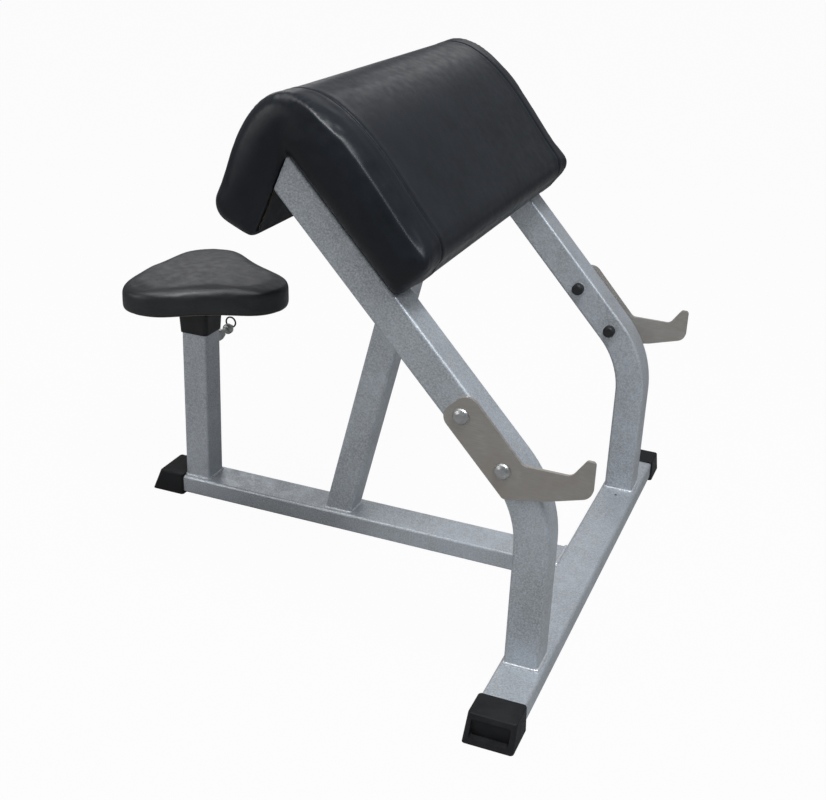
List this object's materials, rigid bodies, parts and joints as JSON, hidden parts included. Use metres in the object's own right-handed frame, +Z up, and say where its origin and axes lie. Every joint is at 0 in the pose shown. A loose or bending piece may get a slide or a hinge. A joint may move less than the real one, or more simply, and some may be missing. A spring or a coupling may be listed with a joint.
{
  "type": "preacher curl bench",
  "caption": "Seated arm-curl bench: sloped ridge-shaped arm pad on bent steel uprights with bar hooks, T-shaped base, and a height-adjustable three-lobed seat.",
  "frame": {"origin": "On the floor, under the middle of the bench's bounding box.", "axes": "+X is the way the sitter faces, +Y is the sitter's left, +Z is up. The bench is the same on both sides of the XZ plane, apart from the seat pin on the +Y side."},
  "size_m": [1.0204, 1.078, 0.9428],
  "materials": {
    "frame_silver": "satin",
    "hook_steel": "satin",
    "bright_steel": "polished",
    "zinc_steel": "satin",
    "black_rubber": "matte",
    "black_plastic": "matte",
    "black_vinyl": "satin",
    "plywood": "matte"
  },
  "bodies": {
    "frame": {"cross_tube": "frame_silver", "spine_tube": "frame_silver", "upright_left": "frame_silver", "upright_right": "frame_silver", "crossbar": "frame_silver", "brace": "frame_silver", "seat_post": "frame_silver", "post_collar": "black_plastic", "foot_cap_left": "black_rubber", "foot_cap_right": "black_rubber", "foot_cap_rear": "black_rubber", "hook_left": "hook_steel", "hook_right": "hook_steel", "hook_bolts": "bright_steel", "hook_washers": "zinc_steel", "hook_nuts": "zinc_steel", "nut_caps": "black_plastic", "arm_pad": "black_vinyl", "arm_board": "plywood", "flap_board": "plywood", "corner_brackets": "zinc_steel", "bracket_screws": "zinc_steel", "pad_bolts": "zinc_steel", "pad_tee_nuts": "zinc_steel", "pin_bush": "bright_steel", "pin_gland": "bright_steel"},
    "seat": {"seat_tube": "zinc_steel", "seat_plate": "frame_silver", "seat_board": "plywood", "seat_pad": "black_vinyl", "seat_bolts": "zinc_steel", "seat_tee_nuts": "zinc_steel"},
    "pin": {"pull_pin": "bright_steel", "pin_knob": "bright_steel", "pin_spring": "zinc_steel"},
    "ring": {"pull_ring": "hook_steel"}
  },
  "joints": [
    {"name": "seat_height", "type": "slide", "parent": "frame", "child": "seat", "axis": [0, 0, 1], "range_m": [0, 0.15]},
    {"name": "pin_pull", "type": "slide", "parent": "frame", "child": "pin", "axis": [0, 1, 0], "range_m": [0, 0.01], "stiffness_N_per_m": 600, "springref_m": -0.012, "deforming": ["pin_spring"]},
    {"name": "ring_swing", "type": "hinge", "parent": "pin", "child": "ring", "pos_m": [-0.4062, 0.117, 0.33], "axis": [1, 0, 0], "range_deg": [-180, 0]}
  ]
}
